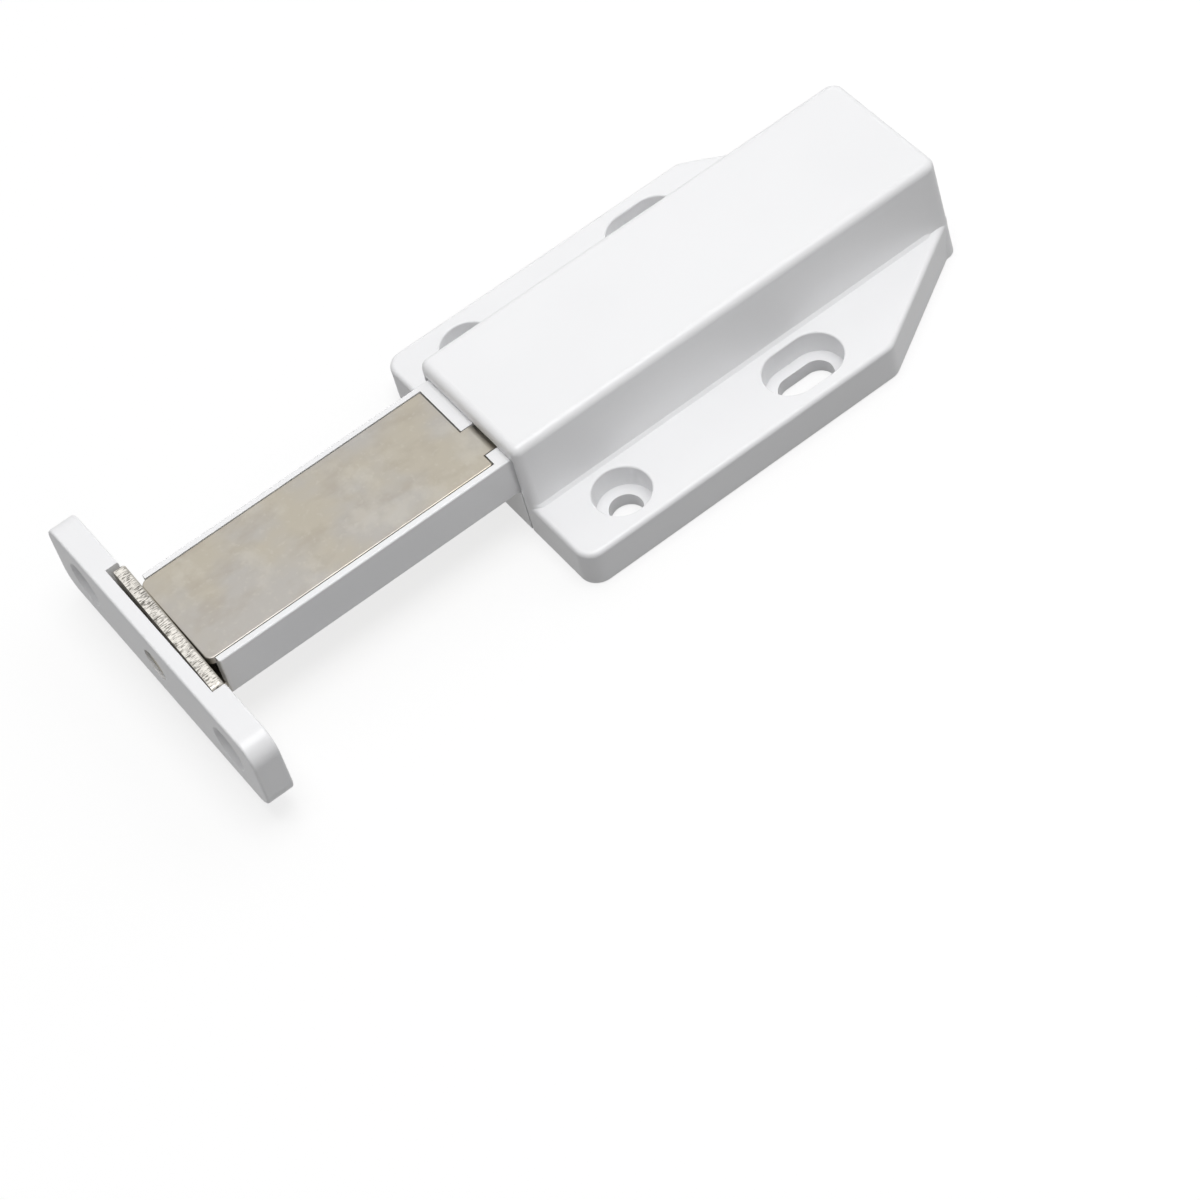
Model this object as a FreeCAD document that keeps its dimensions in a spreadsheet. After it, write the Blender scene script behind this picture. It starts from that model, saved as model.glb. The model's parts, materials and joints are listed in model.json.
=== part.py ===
import FreeCAD, Part
import os
import Sketcher
from FreeCAD import Placement, Rotation, Vector

# Push-to-open magnetic catch: a moulded housing screwed to the cabinet, a spring-loaded
# plunger with a magnet between two steel pole plates, and a strike for the door.
# Every piece is drawn from the housing's front face (x = 0, +X towards the door),
# the centre plane (y = 0) and the base (z = 0). The placements then move that datum
# so that the frame's origin is midway between the two round screw holes.

doc = FreeCAD.newDocument("MagneticCatch")
sheet = doc.addObject("Spreadsheet::Sheet", "dims")

sizes = [
    # housing
    ("housingLength", 72.0), ("housingHeight", 17.0), ("topWidth", 22.3), ("footWidth", 24.6),
    ("flangeWidth", 48.2), ("flangeHeight", 6.0), ("chamferLength", 20.2), ("flangeTail", 1.1),
    ("flangeCornerRadius", 2.7), ("rearCornerRadius", 1.8), ("frontCornerRadius", 1.3), ("topEdgeRadius", 1.2),
    ("flangeEdgeRadius", 0.7), ("rearWall", 2.4), ("mouthRadius", 0.3), ("rimRadius", 0.25),
    ("cove", 0.4), ("coveInset", 2.0), ("coveFade", 3.0),
    ("coreDepth", 4.2), ("coreWall", 1.8), ("coreRib", 1.2),
    # screw holes of the housing
    ("holeSetback", 10.5), ("holeSpacing", 35.7), ("holeBore", 4.8), ("counterbore", 8.2),
    ("counterboreDepth", 3.8), ("slotSetback", 41.3), ("slotTravel", 3.8),
    # plunger
    ("plungerWidth", 19.3), ("plungerHeight", 6.9), ("plungerFloor", 7.6), ("plungerReach", 46.4),
    ("plungerTail", 23.5), ("sideGap", 0.35), ("slideGap", 0.1), ("fitGap", 0.05), ("barEdgeRadius", 0.25),
    # pole plates and magnet
    ("plateWidth", 17.1), ("plateThickness", 1.2), ("plateProud", 1.0), ("plateRear", 2.0),
    ("plateCornerRadius", 1.0), ("plateGap", 0.15), ("plateRoll", 0.15), ("rearRadius", 0.4), ("tabWidth", 5.4), ("tabOffset", 3.8), ("tabReach", 2.7),
    ("tabDrop", 3.0), ("tabBendRadius", 0.4), ("magnetLength", 21.6), ("magnetWidth", 15.8), ("magnetInset", 0.4),
    # ejector springs and their spigots
    ("springSpacing", 10.0), ("springDiameter", 4.6), ("springWire", 0.45), ("springTurns", 15),
    ("springBore", 5.2), ("springBoreDepth", 21.0), ("spigotDiameter", 3.2), ("spigotLength", 17.5),
    ("spigotTip", 2.4),
    # latching keel under the plunger's tail
    ("keelWidth", 11.0), ("keelFront", 3.0), ("keelRear", 17.6), ("keelFloor", 3.3),
    ("trackDepth", 2.3), ("laneOffset", 2.3), ("laneWidth", 2.1), ("stopGap", 0.1),
    ("overTravel", 2.5), ("cuspWidth", 2.0), ("notchDepth", 0.9),
    # latch wire
    ("wireDiameter", 1.5), ("wireArm", 15.0), ("wireAxis", 2.4), ("wireBend", 0.9),
    ("wireTip", 5.3), ("wireFoot", 0.3), ("pivotGap", 0.05), ("pivotInset", 5.5),
    # base tray
    ("trayFloor", 1.6), ("troughWidth", 14.6), ("trayFrontWall", 2.8), ("trayRearWall", 1.2),
    ("clipProud", 0.6), ("clipFoot", 2.6), ("clipPeak", 2.9), ("clipTop", 4.1), ("clipLength", 6.0),
    ("clipSetback", 14.0), ("clipPitch", 36.0),
    # retainer of the latch wire
    ("postDiameter", 2.6), ("postSpacing", 5.8), ("stakeDiameter", 1.4), ("stakeHead", 2.2),
    ("stakeHeadHeight", 0.5), ("leafThickness", 0.4), ("leafWidth", 8.8), ("leafLength", 3.4),
    # strike
    ("strikeLength", 51.3), ("strikeHeight", 12.5), ("strikeThickness", 4.1), ("strikeFloor", 3.1),
    ("strikeGap", 0.45), ("strikeCornerRadius", 3.15), ("strikeEdgeRadius", 0.35),
    ("recessGapLeft", 0.6), ("recessGapRight", 0.3), ("recessDepth", 2.0),
    ("strikeHoleSpacing", 36.0), ("strikeHole", 3.4), ("countersink", 6.8),
    # keeper and its stud
    ("keeperLength", 25.7), ("keeperOffset", 0.75), ("keeperThickness", 1.8), ("keeperCornerRadius", 0.6),
    ("keeperTilt", 1.2), ("keeperRoll", 0.45), ("keeperGap", 0.05), ("keeperDrop", 0.1),
    ("studDiameter", 2.6), ("studHead", 4.4), ("studHeadDepth", 0.9), ("studWell", 4.8),
    ("studWellDepth", 1.3), ("studInset", 0.15), ("keeperHoleGap", 0.3),
]
for row, (alias, size) in enumerate(sizes, 1):
    sheet.set(f"A{row}", alias)
    sheet.set(f"B{row}", str(size))
    sheet.setAlias(f"B{row}", alias)
doc.recompute()


def number(expression):
    return float(sheet.evalExpression(str(expression)))


# Levels and faces that several pieces share.
plungerTop = "(dims.plungerFloor + dims.plungerHeight)"
plungerMiddle = "(dims.plungerFloor + dims.plungerHeight / 2)"
plateFront = "(dims.plungerReach + dims.plateProud)"
channelWidth = "(dims.plungerWidth + 2 * dims.sideGap)"
channelRoof = f"({plungerTop} + dims.slideGap)"
rearInside = "(dims.housingLength - dims.rearWall)"
pivotSetback = "(dims.housingLength - dims.pivotInset)"
plungerTravel = f"({rearInside} - dims.plungerTail - dims.stopGap)"
latchTravel = f"({plungerTravel} - dims.overTravel)"
trayTop = "(dims.plungerFloor - dims.slideGap)"
strikeMiddle = "(dims.strikeFloor + dims.strikeHeight / 2)"
strikeFace = f"({plateFront} + dims.strikeGap)"


def newBody(label, x="dims.holeSetback", y="0", z="0"):
    body = doc.addObject("PartDesign::Body", label)
    body.Label = label
    for axis, place in zip("xyz", (x, y, z)):
        body.setExpression(f"Placement.Base.{axis}", place)
    return body


def newSketch(body, name, role, offset="0"):
    sketch = body.newObject("Sketcher::SketchObject", name)
    plane = next(feature for feature in body.Origin.OriginFeatures if feature.Role == role)
    sketch.AttachmentSupport = [(plane, "")]
    sketch.MapMode = "FlatFace"
    sketch.setExpression("AttachmentOffset.Base.z", offset)
    return sketch


def tie(sketch, kind, expression, *where):
    index = sketch.addConstraint(Sketcher.Constraint(kind, *where, number(expression)))
    sketch.setExpression(f"Constraints[{index}]", expression)


def tiePoint(sketch, curve, end, u, v):
    tie(sketch, "DistanceX", u, -1, 1, curve, end)
    tie(sketch, "DistanceY", v, -1, 1, curve, end)


def addPolygon(sketch, corners):
    points = [Vector(number(u), number(v), 0) for u, v in corners]
    first = sketch.GeometryCount
    count = len(points)
    for i in range(count):
        sketch.addGeometry(Part.LineSegment(points[i], points[(i + 1) % count]))
    for i in range(count):
        sketch.addConstraint(Sketcher.Constraint("Coincident", first + i, 2, first + (i + 1) % count, 1))
    for i, (u, v) in enumerate(corners):
        tiePoint(sketch, first + i, 1, u, v)


def addRectangle(sketch, left, right, low, high):
    addPolygon(sketch, [(left, low), (right, low), (right, high), (left, high)])


def addCircle(sketch, u, v, diameter):
    centre = Vector(number(u), number(v), 0)
    circle = sketch.addGeometry(Part.Circle(centre, Vector(0, 0, 1), number(diameter) / 2))
    tiePoint(sketch, circle, 3, u, v)
    tie(sketch, "Diameter", diameter, circle)


def addSlot(sketch, u, v, travel, diameter):
    radius = number(diameter) / 2
    half = number(travel) / 2
    middle = Vector(number(u), number(v), 0)
    normal = Vector(0, 0, 1)
    right = sketch.addGeometry(Part.ArcOfCircle(Part.Circle(middle + Vector(half, 0, 0), normal, radius), -1.5707963, 1.5707963))
    left = sketch.addGeometry(Part.ArcOfCircle(Part.Circle(middle - Vector(half, 0, 0), normal, radius), 1.5707963, 4.7123890))
    top = sketch.addGeometry(Part.LineSegment(middle + Vector(half, radius, 0), middle + Vector(-half, radius, 0)))
    low = sketch.addGeometry(Part.LineSegment(middle + Vector(-half, -radius, 0), middle + Vector(half, -radius, 0)))
    sketch.addConstraint(Sketcher.Constraint("Tangent", right, 2, top, 1))
    sketch.addConstraint(Sketcher.Constraint("Tangent", top, 2, left, 1))
    sketch.addConstraint(Sketcher.Constraint("Tangent", left, 2, low, 1))
    sketch.addConstraint(Sketcher.Constraint("Tangent", low, 2, right, 1))
    tiePoint(sketch, right, 3, f"{u} + {travel} / 2", v)
    tiePoint(sketch, left, 3, f"{u} - {travel} / 2", v)
    tie(sketch, "Diameter", diameter, right)


def addRounded(sketch, left, right, width, leftRadius, rightRadius):
    # Rectangle on the X axis with one radius at each end.
    l, r, w, p, q = (number(each) for each in (left, right, f"({width}) / 2", leftRadius, rightRadius))
    normal, turn = Vector(0, 0, 1), 1.5707963
    curves = [
        Part.LineSegment(Vector(l + p, -w, 0), Vector(r - q, -w, 0)),
        Part.ArcOfCircle(Part.Circle(Vector(r - q, q - w, 0), normal, q), 3 * turn, 4 * turn),
        Part.LineSegment(Vector(r, q - w, 0), Vector(r, w - q, 0)),
        Part.ArcOfCircle(Part.Circle(Vector(r - q, w - q, 0), normal, q), 0, turn),
        Part.LineSegment(Vector(r - q, w, 0), Vector(l + p, w, 0)),
        Part.ArcOfCircle(Part.Circle(Vector(l + p, w - p, 0), normal, p), turn, 2 * turn),
        Part.LineSegment(Vector(l, w - p, 0), Vector(l, p - w, 0)),
        Part.ArcOfCircle(Part.Circle(Vector(l + p, p - w, 0), normal, p), 2 * turn, 3 * turn)]
    for curve in curves:
        sketch.addGeometry(curve)
    for i in range(8):
        sketch.addConstraint(Sketcher.Constraint("Tangent", i, 2, (i + 1) % 8, 1))
    tie(sketch, "DistanceX", left, -1, 1, 6, 1)
    tie(sketch, "DistanceX", right, -1, 1, 2, 1)
    tie(sketch, "DistanceY", f"-({width}) / 2", -1, 1, 0, 1)
    tie(sketch, "DistanceY", f"({width}) / 2", -1, 1, 4, 1)
    for arc, radius in ((1, rightRadius), (3, rightRadius), (5, leftRadius), (7, leftRadius)):
        tie(sketch, "Radius", radius, arc)
    sketch.addConstraint(Sketcher.Constraint("Horizontal", 0))
    sketch.addConstraint(Sketcher.Constraint("Vertical", 2))


def padOf(body, sketch, length, back=False, midplane=False):
    pad = body.newObject("PartDesign::Pad", sketch.Name + "Pad")
    pad.Profile = sketch
    pad.Reversed = back
    pad.Midplane = midplane
    pad.setExpression("Length", length)
    sketch.Visibility = False
    doc.recompute()
    return pad


def pocketOf(body, sketch, length, up=False, midplane=False):
    before = body.Shape.Volume
    pocket = body.newObject("PartDesign::Pocket", sketch.Name + "Pocket")
    pocket.Profile = sketch
    pocket.Reversed = up
    pocket.Midplane = midplane
    pocket.setExpression("Length", length)
    doc.recompute()
    if not body.Shape.Volume < before - 1e-6:
        raise RuntimeError(sketch.Name + " cuts nothing")
    return pocket


def near(a, b, gap=0.02):
    return abs(a - b) < gap


def blend(body, name, radius, wanted, kind="PartDesign::Fillet"):
    # An edge is chosen by its two ends and its middle, in the body's own coordinates.
    shape = body.Tip.Shape
    names = []
    for i, edge in enumerate(shape.Edges, 1):
        low, high = edge.ParameterRange
        if wanted(edge.valueAt(low), edge.valueAt((low + high) / 2), edge.valueAt(high)):
            names.append(f"Edge{i}")
    if not names:
        raise RuntimeError(name + " found no edge")
    base = body.Tip
    feature = body.newObject(kind, name)
    feature.Base = (base, names)
    feature.setExpression("Radius" if kind.endswith("Fillet") else "Size", radius)
    doc.recompute()
    return feature


# Housing. A plan with cut-back rear corners makes the two flanges, and a loft between two
# rounded rectangles makes the drafted body, whose front and rear walls stay upright.
housing = newBody("housing")
halfFlange, halfFoot, halfTop = "dims.flangeWidth / 2", "dims.footWidth / 2", "dims.topWidth / 2"
flangePlan = newSketch(housing, "flangePlan", "XY_Plane")
addPolygon(flangePlan, [
    ("0", f"-{halfFlange}"), ("0", halfFlange), ("dims.chamferLength - dims.housingLength", halfFlange),
    ("dims.flangeTail - dims.housingLength", halfFoot), ("-dims.housingLength", f"{halfFoot} - dims.flangeTail"),
    ("-dims.housingLength", f"dims.flangeTail - {halfFoot}"), ("dims.flangeTail - dims.housingLength", f"-{halfFoot}"),
    ("dims.chamferLength - dims.housingLength", f"-{halfFlange}")])
padOf(housing, flangePlan, "dims.flangeHeight")
length, height, flange = number("dims.housingLength"), number("dims.housingHeight"), number("dims.flangeHeight")
foot, wide = number(halfFoot), number(halfFlange)
blend(housing, "flangeCorners", "dims.flangeCornerRadius",
      lambda a, m, b: near(abs(m.y), wide) and not near(a.z, b.z))
blend(housing, "flangeEdges", "dims.flangeEdgeRadius",
      lambda a, m, b: near(a.z, flange) and near(b.z, flange) and near(m.z, flange) and not near(m.x, -length))

footPlan = newSketch(housing, "footPlan", "XY_Plane")
draft = "(dims.footWidth - dims.topWidth) / (dims.housingHeight - dims.flangeHeight)"
addRounded(footPlan, "-dims.housingLength", "0",
           f"dims.footWidth + {draft} * dims.flangeHeight", "dims.rearCornerRadius", "dims.frontCornerRadius")
topPlan = newSketch(housing, "topPlan", "XY_Plane", "dims.housingHeight")
addRounded(topPlan, "-dims.housingLength", "0", "dims.topWidth", "dims.rearCornerRadius", "dims.frontCornerRadius")
walls = housing.newObject("PartDesign::AdditiveLoft", "walls")
walls.Profile = footPlan
walls.Sections = [topPlan]
walls.Ruled = True
housing.Tip = walls
doc.recompute()
blend(housing, "topEdges", "dims.topEdgeRadius",
      lambda a, m, b: near(a.z, height) and near(m.z, height) and near(b.z, height))

# A small cove eases the body's foot into the flanges and fades out before the rear corners.
coveFoot = newSketch(housing, "coveFoot", "XY_Plane", "dims.flangeHeight - dims.cove")
addRounded(coveFoot, "dims.coveInset - dims.housingLength", "0", "dims.footWidth + 4 * dims.cove",
           "dims.coveFade", "dims.frontCornerRadius + 2 * dims.cove")
coveTop = newSketch(housing, "coveTop", "XY_Plane", "dims.flangeHeight + 1.5 * dims.cove")
addRounded(coveTop, "dims.coveInset + 2.5 * dims.cove - dims.housingLength", "0", "dims.footWidth - dims.cove",
           "dims.coveFade - 2.5 * dims.cove", "dims.frontCornerRadius - dims.cove / 2")
coveSkirt = housing.newObject("PartDesign::AdditiveLoft", "coveSkirt")
coveSkirt.Profile = coveFoot
coveSkirt.Sections = [coveTop]
coveSkirt.Ruled = True
housing.Tip = coveSkirt
doc.recompute()

channel = newSketch(housing, "channel", "XY_Plane")
addRectangle(channel, f"-{rearInside}", "0", f"-{channelWidth} / 2", f"{channelWidth} / 2")
pocketOf(housing, channel, channelRoof, up=True)
roof, halfMouth = number(channelRoof), number(f"{channelWidth} / 2")
blend(housing, "mouthLip", "dims.mouthRadius",
      lambda a, m, b: near(a.x, 0) and near(b.x, 0) and near(a.z, roof) and near(b.z, roof) and near(m.z, roof))
# The mouth also flares a little at its sides.
flare = newSketch(housing, "flare", "XY_Plane")
flareWidth = f"({channelWidth} / 2 + 2 * dims.mouthRadius)"
addPolygon(flare, [
    ("-dims.mouthRadius", f"-{channelWidth} / 2"), ("dims.mouthRadius", f"-{flareWidth}"),
    ("dims.mouthRadius", flareWidth), ("-dims.mouthRadius", f"{channelWidth} / 2")])
pocketOf(housing, flare, f"{channelRoof} + dims.mouthRadius / 3", up=True)

wells = newSketch(housing, "wells", "XY_Plane", "dims.flangeHeight")
bores = newSketch(housing, "bores", "XY_Plane", "dims.flangeHeight")
for side in ("", "-"):
    line = f"{side}dims.holeSpacing / 2"
    addCircle(wells, "-dims.holeSetback", line, "dims.counterbore")
    addSlot(wells, "-dims.slotSetback", line, "dims.slotTravel", "dims.counterbore")
    addCircle(bores, "-dims.holeSetback", line, "dims.holeBore")
    addSlot(bores, "-dims.slotSetback", line, "dims.slotTravel", "dims.holeBore")
pocketOf(housing, wells, "dims.counterboreDepth")
pocketOf(housing, bores, "dims.flangeHeight")
wellLine, wellReach = number("dims.holeSpacing / 2"), number("dims.counterbore / 2")
blend(housing, "wellRims", "dims.rimRadius",
      lambda a, m, b: near(a.z, flange) and near(b.z, flange) and near(m.z, flange)
      and abs(abs(m.y) - wellLine) < wellReach + 0.1 and m.x < -1 and abs(abs(a.y) - wellLine) < wellReach + 0.1)

# The thick flanges are cored from below between the screw holes, with a rib in the middle.
cores = newSketch(housing, "cores", "XY_Plane")
coreFront = "(-dims.holeSetback - dims.counterbore / 2 - dims.coreWall)"
coreRear = "(-dims.slotSetback + dims.slotTravel / 2 + dims.counterbore / 2 + dims.coreWall)"
coreMiddle = f"({coreFront} + {coreRear}) / 2"
coreInner, coreOuter = f"({channelWidth} / 2 + dims.coreWall)", f"({halfFlange} - dims.coreWall)"
for low, high in ((coreInner, coreOuter), (f"-{coreOuter}", f"-{coreInner}")):
    addRectangle(cores, f"{coreMiddle} + dims.coreRib / 2", coreFront, low, high)
    addRectangle(cores, coreRear, f"{coreMiddle} - dims.coreRib / 2", low, high)
pocketOf(housing, cores, "dims.coreDepth", up=True)

# Recesses in the channel's sides for the tray's clips.
clipSeats = newSketch(housing, "clipSeats", "YZ_Plane", "-dims.clipSetback + dims.fitGap")
seatSide = f"{channelWidth} / 2"
for side in ("", "-"):
    addPolygon(clipSeats, [
        (f"{side}({seatSide} - dims.sideGap / 2)", "dims.clipFoot - dims.fitGap"),
        (f"{side}({seatSide} + dims.clipProud + dims.fitGap)", "dims.clipFoot - dims.fitGap"),
        (f"{side}({seatSide} + dims.clipProud + dims.fitGap)", "dims.clipPeak + 2 * dims.fitGap"),
        (f"{side}({seatSide} - dims.sideGap / 2)", "dims.clipTop + 4 * dims.fitGap")])
seatCut = pocketOf(housing, clipSeats, "dims.clipLength + 2 * dims.fitGap")
seatRow = housing.newObject("PartDesign::LinearPattern", "seatRow")
seatRow.Originals = [seatCut]
seatRow.Direction = (next(f for f in housing.Origin.OriginFeatures if f.Role == "X_Axis"), [""])
seatRow.Reversed = True
seatRow.setExpression("Length", "dims.clipPitch")
seatRow.Occurrences = 2
housing.Tip = seatRow
doc.recompute()

# Tapered spigots on the rear wall carry the springs' rear ends.
for name, side in (("spigotRight", ""), ("spigotLeft", "-")):
    spigot = newSketch(housing, name, "XY_Plane", plungerMiddle)
    axis = f"{side}dims.springSpacing / 2"
    addPolygon(spigot, [
        (f"-{rearInside} - dims.rearWall / 2", axis),
        (f"-{rearInside} + dims.spigotLength", axis),
        (f"-{rearInside} + dims.spigotLength", f"{axis} + dims.spigotTip / 2"),
        (f"-{rearInside} - dims.rearWall / 2", f"{axis} + dims.spigotDiameter / 2")])
    turned = housing.newObject("PartDesign::Revolution", name + "Turned")
    turned.Profile = spigot
    turned.ReferenceAxis = (spigot, ["Edge1"])
    turned.Angle = 360
    housing.Tip = turned
    doc.recompute()

# Base tray: closes the channel from below, its ledges carry the plunger and its trough
# holds the latch wire.
tray = newBody("base_tray")
trayBlock = newSketch(tray, "trayBlock", "XY_Plane")
trayWidth = f"({channelWidth} - 2 * dims.fitGap)"
addRectangle(trayBlock, f"-{rearInside} + dims.fitGap", "0", f"-{trayWidth} / 2", f"{trayWidth} / 2")
padOf(tray, trayBlock, trayTop)
trough = newSketch(tray, "trough", "XY_Plane", trayTop)
addRectangle(trough, f"-{rearInside} + dims.trayRearWall", "-dims.trayFrontWall",
             "-dims.troughWidth / 2", "dims.troughWidth / 2")
pocketOf(tray, trough, f"{trayTop} - dims.trayFloor")
clips = newSketch(tray, "clips", "YZ_Plane", "-dims.clipSetback")
for side in ("", "-"):
    addPolygon(clips, [
        (f"{side}({trayWidth} / 2 - dims.clipProud)", "dims.clipFoot"),
        (f"{side}({trayWidth} / 2 + dims.clipProud)", "dims.clipFoot"),
        (f"{side}({trayWidth} / 2 + dims.clipProud)", "dims.clipPeak"),
        (f"{side}({trayWidth} / 2)", "dims.clipTop"),
        (f"{side}({trayWidth} / 2 - dims.clipProud)", "dims.clipTop")])
clipPad = padOf(tray, clips, "dims.clipLength", back=True)
clipRow = tray.newObject("PartDesign::LinearPattern", "clipRow")
clipRow.Originals = [clipPad]
clipRow.Direction = (next(f for f in tray.Origin.OriginFeatures if f.Role == "X_Axis"), [""])
clipRow.Reversed = True
clipRow.setExpression("Length", "dims.clipPitch")
clipRow.Occurrences = 2
tray.Tip = clipRow
doc.recompute()
leafFoot = "(dims.wireAxis + dims.wireDiameter / 2 + dims.slideGap)"
leafTop = f"({leafFoot} + dims.leafThickness)"
posts = newSketch(tray, "posts", "XY_Plane", "dims.trayFloor / 2")
stakes = newSketch(tray, "stakes", "XY_Plane", "dims.trayFloor / 2")
stakeHeads = newSketch(tray, "stakeHeads", "XY_Plane", leafTop)
for side in ("+", "-"):
    line = f"-dims.laneOffset {side} dims.postSpacing / 2"
    addCircle(posts, f"-{pivotSetback}", line, "dims.postDiameter")
    addCircle(stakes, f"-{pivotSetback}", line, "dims.stakeDiameter")
    addCircle(stakeHeads, f"-{pivotSetback}", line, "dims.stakeHead")
padOf(tray, posts, f"{leafFoot} - dims.trayFloor / 2")
padOf(tray, stakes, f"{leafTop} + dims.stakeHeadHeight / 2 - dims.trayFloor / 2")
padOf(tray, stakeHeads, "dims.stakeHeadHeight")
pivotHole = newSketch(tray, "pivotHole", "XY_Plane", "dims.trayFloor")
addCircle(pivotHole, f"-{pivotSetback}", "-dims.laneOffset", "dims.wireDiameter + 2 * dims.pivotGap")
pocketOf(tray, pivotHole, "dims.trayFloor")

# Spring-steel leaf staked over the wire's pivot.
leaf = newBody("wire_retainer", z=leafFoot)
leafPlan = newSketch(leaf, "leafPlan", "XY_Plane")
addRectangle(leafPlan, f"-{pivotSetback} - dims.leafLength / 2", f"-{pivotSetback} + dims.leafLength / 2",
             "-dims.laneOffset - dims.leafWidth / 2", "-dims.laneOffset + dims.leafWidth / 2")
padOf(leaf, leafPlan, "dims.leafThickness")
leafHoles = newSketch(leaf, "leafHoles", "XY_Plane", "dims.leafThickness")
for side in ("+", "-"):
    addCircle(leafHoles, f"-{pivotSetback}", f"-dims.laneOffset {side} dims.postSpacing / 2",
              "dims.stakeDiameter + 2 * dims.fitGap")
pocketOf(leaf, leafHoles, "dims.leafThickness")
blend(leaf, "leafCorners", "dims.leafThickness",
      lambda a, m, b: not near(a.z, b.z) and near(abs(m.y + number("dims.laneOffset")), number("dims.leafWidth") / 2))

# Latch wire: a foot in the tray, a level arm and a tip that rides in the track.
wire = newBody("latch_wire", x=f"dims.holeSetback - {pivotSetback}", y="-dims.laneOffset", z="dims.wireAxis")
wirePath = newSketch(wire, "wirePath", "XZ_Plane")
bend, arm = number("dims.wireBend"), number("dims.wireArm")
down, rise = number("dims.wireAxis - dims.wireFoot"), number("dims.wireTip - dims.wireAxis")
quarter = 1.5707963
footLine = wirePath.addGeometry(Part.LineSegment(Vector(0, -down, 0), Vector(0, -bend, 0)))
rearBend = wirePath.addGeometry(Part.ArcOfCircle(
    Part.Circle(Vector(bend, -bend, 0), Vector(0, 0, 1), bend), quarter, 2 * quarter))
armLine = wirePath.addGeometry(Part.LineSegment(Vector(bend, 0, 0), Vector(arm - bend, 0, 0)))
frontBend = wirePath.addGeometry(Part.ArcOfCircle(
    Part.Circle(Vector(arm - bend, bend, 0), Vector(0, 0, 1), bend), 3 * quarter, 4 * quarter))
tipLine = wirePath.addGeometry(Part.LineSegment(Vector(arm, bend, 0), Vector(arm, rise, 0)))
for joint in ((footLine, 2, rearBend, 2), (rearBend, 1, armLine, 1), (armLine, 2, frontBend, 1), (frontBend, 2, tipLine, 1)):
    wirePath.addConstraint(Sketcher.Constraint("Tangent", *joint))
tiePoint(wirePath, footLine, 1, "0", "dims.wireFoot - dims.wireAxis")
tiePoint(wirePath, tipLine, 2, "dims.wireArm", "dims.wireTip - dims.wireAxis")
tie(wirePath, "DistanceY", "0", -1, 1, armLine, 1)
tie(wirePath, "Radius", "dims.wireBend", rearBend)
tie(wirePath, "Radius", "dims.wireBend", frontBend)
wirePath.addConstraint(Sketcher.Constraint("Vertical", footLine))
wirePath.addConstraint(Sketcher.Constraint("Horizontal", armLine))
wireSection = newSketch(wire, "wireSection", "XY_Plane", "dims.wireFoot - dims.wireAxis")
addCircle(wireSection, "0", "0", "dims.wireDiameter")
doc.recompute()
drawn = wire.newObject("PartDesign::AdditivePipe", "drawnWire")
drawn.Profile = wireSection
drawn.Spine = (wirePath, [])
drawn.Transition = "Right corner"
doc.recompute()

# Plunger: a moulded bar with recesses for the pole plates, a through window for the magnet,
# two blind bores for the springs and the keel with its heart-shaped track.
plunger = newBody("plunger_body")
bar = newSketch(plunger, "bar", "XY_Plane", "dims.plungerFloor")
addRectangle(bar, "-dims.plungerTail", "dims.plungerReach", "-dims.plungerWidth / 2", "dims.plungerWidth / 2")
padOf(plunger, bar, "dims.plungerHeight")
barHalf, barFront = number("dims.plungerWidth / 2"), number("dims.plungerReach")
blend(plunger, "barEdges", "dims.barEdgeRadius",
      lambda a, m, b: near(abs(m.y), barHalf) and (near(a.z, b.z) or near(m.x, barFront)))
keel = newSketch(plunger, "keel", "XY_Plane", "dims.keelFloor")
addRectangle(keel, "-dims.keelRear", "-dims.keelFront", "-dims.keelWidth / 2", "dims.keelWidth / 2")
padOf(plunger, keel, "dims.plungerFloor + dims.plungerHeight / 8 - dims.keelFloor")

# Seats of the plates: the recess stops at the plate's rear edge and goes on behind the tab.
seatDepth = "(dims.plateThickness + dims.fitGap)"
tabRear = "(dims.plateRear - dims.tabReach)"
for name, offset, up, side in (("upperSeat", plungerTop, False, ""), ("lowerSeat", "dims.plungerFloor", True, "-")):
    seat = newSketch(plunger, name, "XY_Plane", offset)
    edge, rear = "(dims.plateWidth / 2 + dims.plateGap)", "dims.plateRear - dims.plateGap"
    tabNear = f"{side}(dims.tabOffset - dims.tabWidth / 2 - dims.plateGap)"
    tabFar = f"{side}(dims.tabOffset + dims.tabWidth / 2 + dims.plateGap)"
    slotRear = f"{tabRear} - dims.plateGap"
    addPolygon(seat, [
        ("dims.plungerReach", f"{side}{edge}"), (rear, f"{side}{edge}"), (rear, tabFar), (slotRear, tabFar),
        (slotRear, tabNear), (rear, tabNear), (rear, f"-({side}{edge})"), ("dims.plungerReach", f"-({side}{edge})")])
    pocketOf(plunger, seat, seatDepth, up=up)
    slot = newSketch(plunger, name + "Slot", "XY_Plane", offset)
    addRectangle(slot, slotRear, f"{tabRear} + dims.plateThickness + dims.tabBendRadius", tabNear, tabFar)
    pocketOf(plunger, slot, "dims.tabDrop + dims.fitGap", up=up)

window = newSketch(plunger, "window", "XY_Plane", plungerTop)
magnetRear = "(dims.plungerReach - dims.magnetInset - dims.magnetLength)"
addRectangle(window, f"{magnetRear} - dims.fitGap", "dims.plungerReach",
             "-dims.magnetWidth / 2 - dims.fitGap", "dims.magnetWidth / 2 + dims.fitGap")
pocketOf(plunger, window, "dims.plungerHeight")

springBores = newSketch(plunger, "springBores", "YZ_Plane", "-dims.plungerTail")
for side in ("", "-"):
    addCircle(springBores, f"{side}dims.springSpacing / 2", plungerMiddle, "dims.springBore")
pocketOf(plunger, springBores, "dims.springBoreDepth", up=True)

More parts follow.
